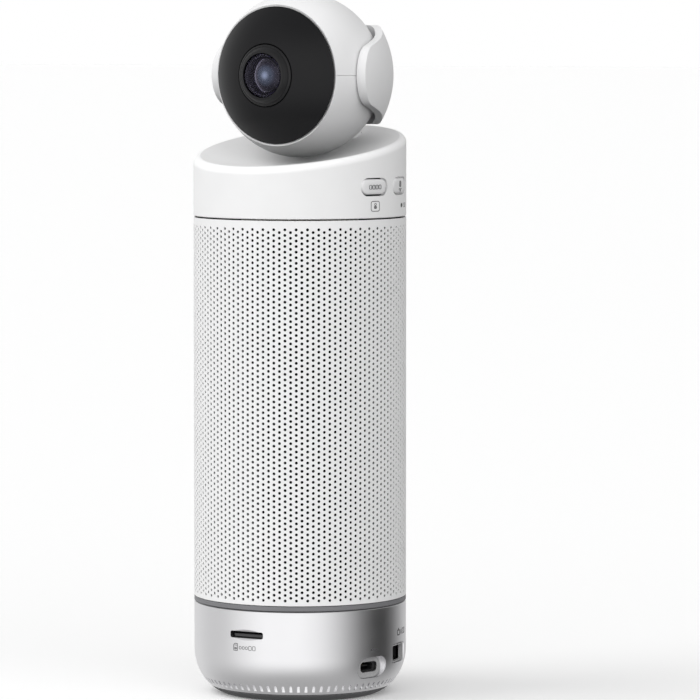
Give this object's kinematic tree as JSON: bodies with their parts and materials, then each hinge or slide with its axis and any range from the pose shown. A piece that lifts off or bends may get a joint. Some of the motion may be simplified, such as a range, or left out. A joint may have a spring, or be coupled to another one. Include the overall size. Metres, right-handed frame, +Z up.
{
  "type": "ptz camera",
  "caption": "Motorised ball camera tilting in a yoke on a slanted turning cap, above a round perforated loudspeaker body with a metal base and side ports.",
  "frame": {"origin": "middle of the foot's underside, on the pan axis", "axes": "+Z up along the pan axis, -Y the way the lens looks at rest, +X the side with the buttons and the cable sockets"},
  "size_m": [0.09, 0.09, 0.2964],
  "materials": {
    "white_shell": "fine satin texture",
    "white_grille": "perforated sheet, satin white paint",
    "aluminium_satin": "satin anodised",
    "ring_grey": "translucent grey diffuser",
    "gloss_black": "polished black",
    "matte_black": "fine texture",
    "rubber_grey": "soft non-slip",
    "lens_glass": "coated optical glass",
    "steel": "machined",
    "circuit_board": "solder mask over glass laminate",
    "nylon": "moulded",
    "brass": "machined",
    "cloth_black": "thin acoustic cloth",
    "paper_cone": "pressed cone"
  },
  "bodies": {
    "body": {"foot_pad": "rubber_grey", "base_shell": "aluminium_satin", "bottom_plate": "matte_black", "main_board": "circuit_board", "processor": "matte_black", "heat_sink": "aluminium_satin", "usb_c_socket": "steel", "network_socket": "matte_black", "led_board": "circuit_board", "card_socket": "matte_black", "light_ring": "ring_grey", "grille": "white_grille", "acoustic_cloth": "cloth_black", "enclosure": "matte_black", "speaker_basket": "steel", "speaker_surround": "rubber_grey", "speaker_cone": "paper_cone", "speaker_magnet": "steel", "passive_radiator": "rubber_grey", "bearing_deck": "matte_black", "pan_bearing": "steel", "pan_motor": "steel", "base_screw_1": "steel", "base_screw_2": "steel", "base_screw_3": "steel", "base_screw_4": "steel", "deck_screw_1": "steel", "deck_screw_2": "steel", "deck_screw_3": "steel"},
    "head": {"turntable": "matte_black", "pan_gear": "nylon", "head_board": "circuit_board", "top_cap": "white_shell", "mode_switch": "matte_black", "mute_switch": "matte_black", "button_board": "circuit_board", "yoke": "white_shell", "neck_screw_1": "steel", "neck_screw_2": "steel", "trunnion_left": "steel", "trunnion_right": "steel", "tilt_gear": "nylon"},
    "ball": {"shell_upper": "white_shell", "shell_lower": "white_shell", "face_cover": "gloss_black", "lens_bezel": "matte_black", "front_lens": "lens_glass", "lens_barrel": "matte_black", "rear_lens": "lens_glass", "lens_mount": "matte_black", "sensor_board": "circuit_board", "image_sensor": "matte_black", "tilt_motor": "steel", "bush_left": "nylon", "bush_right": "nylon"},
    "pan_pinion": {"pan_pinion": "brass"},
    "tilt_pinion": {"tilt_pinion": "brass"},
    "mode_button": {"mode_button": "white_shell"},
    "mute_button": {"mute_button": "white_shell"}
  },
  "joints": [
    {"name": "pan", "type": "hinge", "parent": "body", "child": "head", "pos_m": [0, 0, 0.2045], "axis": [0, 0, 1], "range_deg": [-170, 170]},
    {"name": "tilt", "type": "hinge", "parent": "head", "child": "ball", "pos_m": [0, 0, 0.26165], "axis": [-1, 0, 0], "range_deg": [-30, 90]},
    {"name": "pan_pinion_spin", "type": "hinge", "parent": "body", "child": "pan_pinion", "pos_m": [0, 0.03006, 0.2], "axis": [0, 0, 1], "range_deg": [-690, 690]},
    {"name": "tilt_pinion_spin", "type": "hinge", "parent": "ball", "child": "tilt_pinion", "pos_m": [0.027, 0.01086, 0.26165], "axis": [-1, 0, 0], "range_deg": [-70, 190]},
    {"name": "mode_press", "type": "slide", "parent": "head", "child": "mode_button", "axis": [-0.974, 0.2267, 0], "range_m": [0, 0.0008], "stiffness_N_per_m": 1500},
    {"name": "mute_press", "type": "slide", "parent": "head", "child": "mute_button", "axis": [-0.9774, -0.2113, 0], "range_m": [0, 0.0008], "stiffness_N_per_m": 1500}
  ],
  "couplings": [
    {"joint": "pan_pinion_spin", "follows": "pan", "ratio": -4},
    {"joint": "tilt_pinion_spin", "follows": "tilt", "ratio": 2}
  ]
}
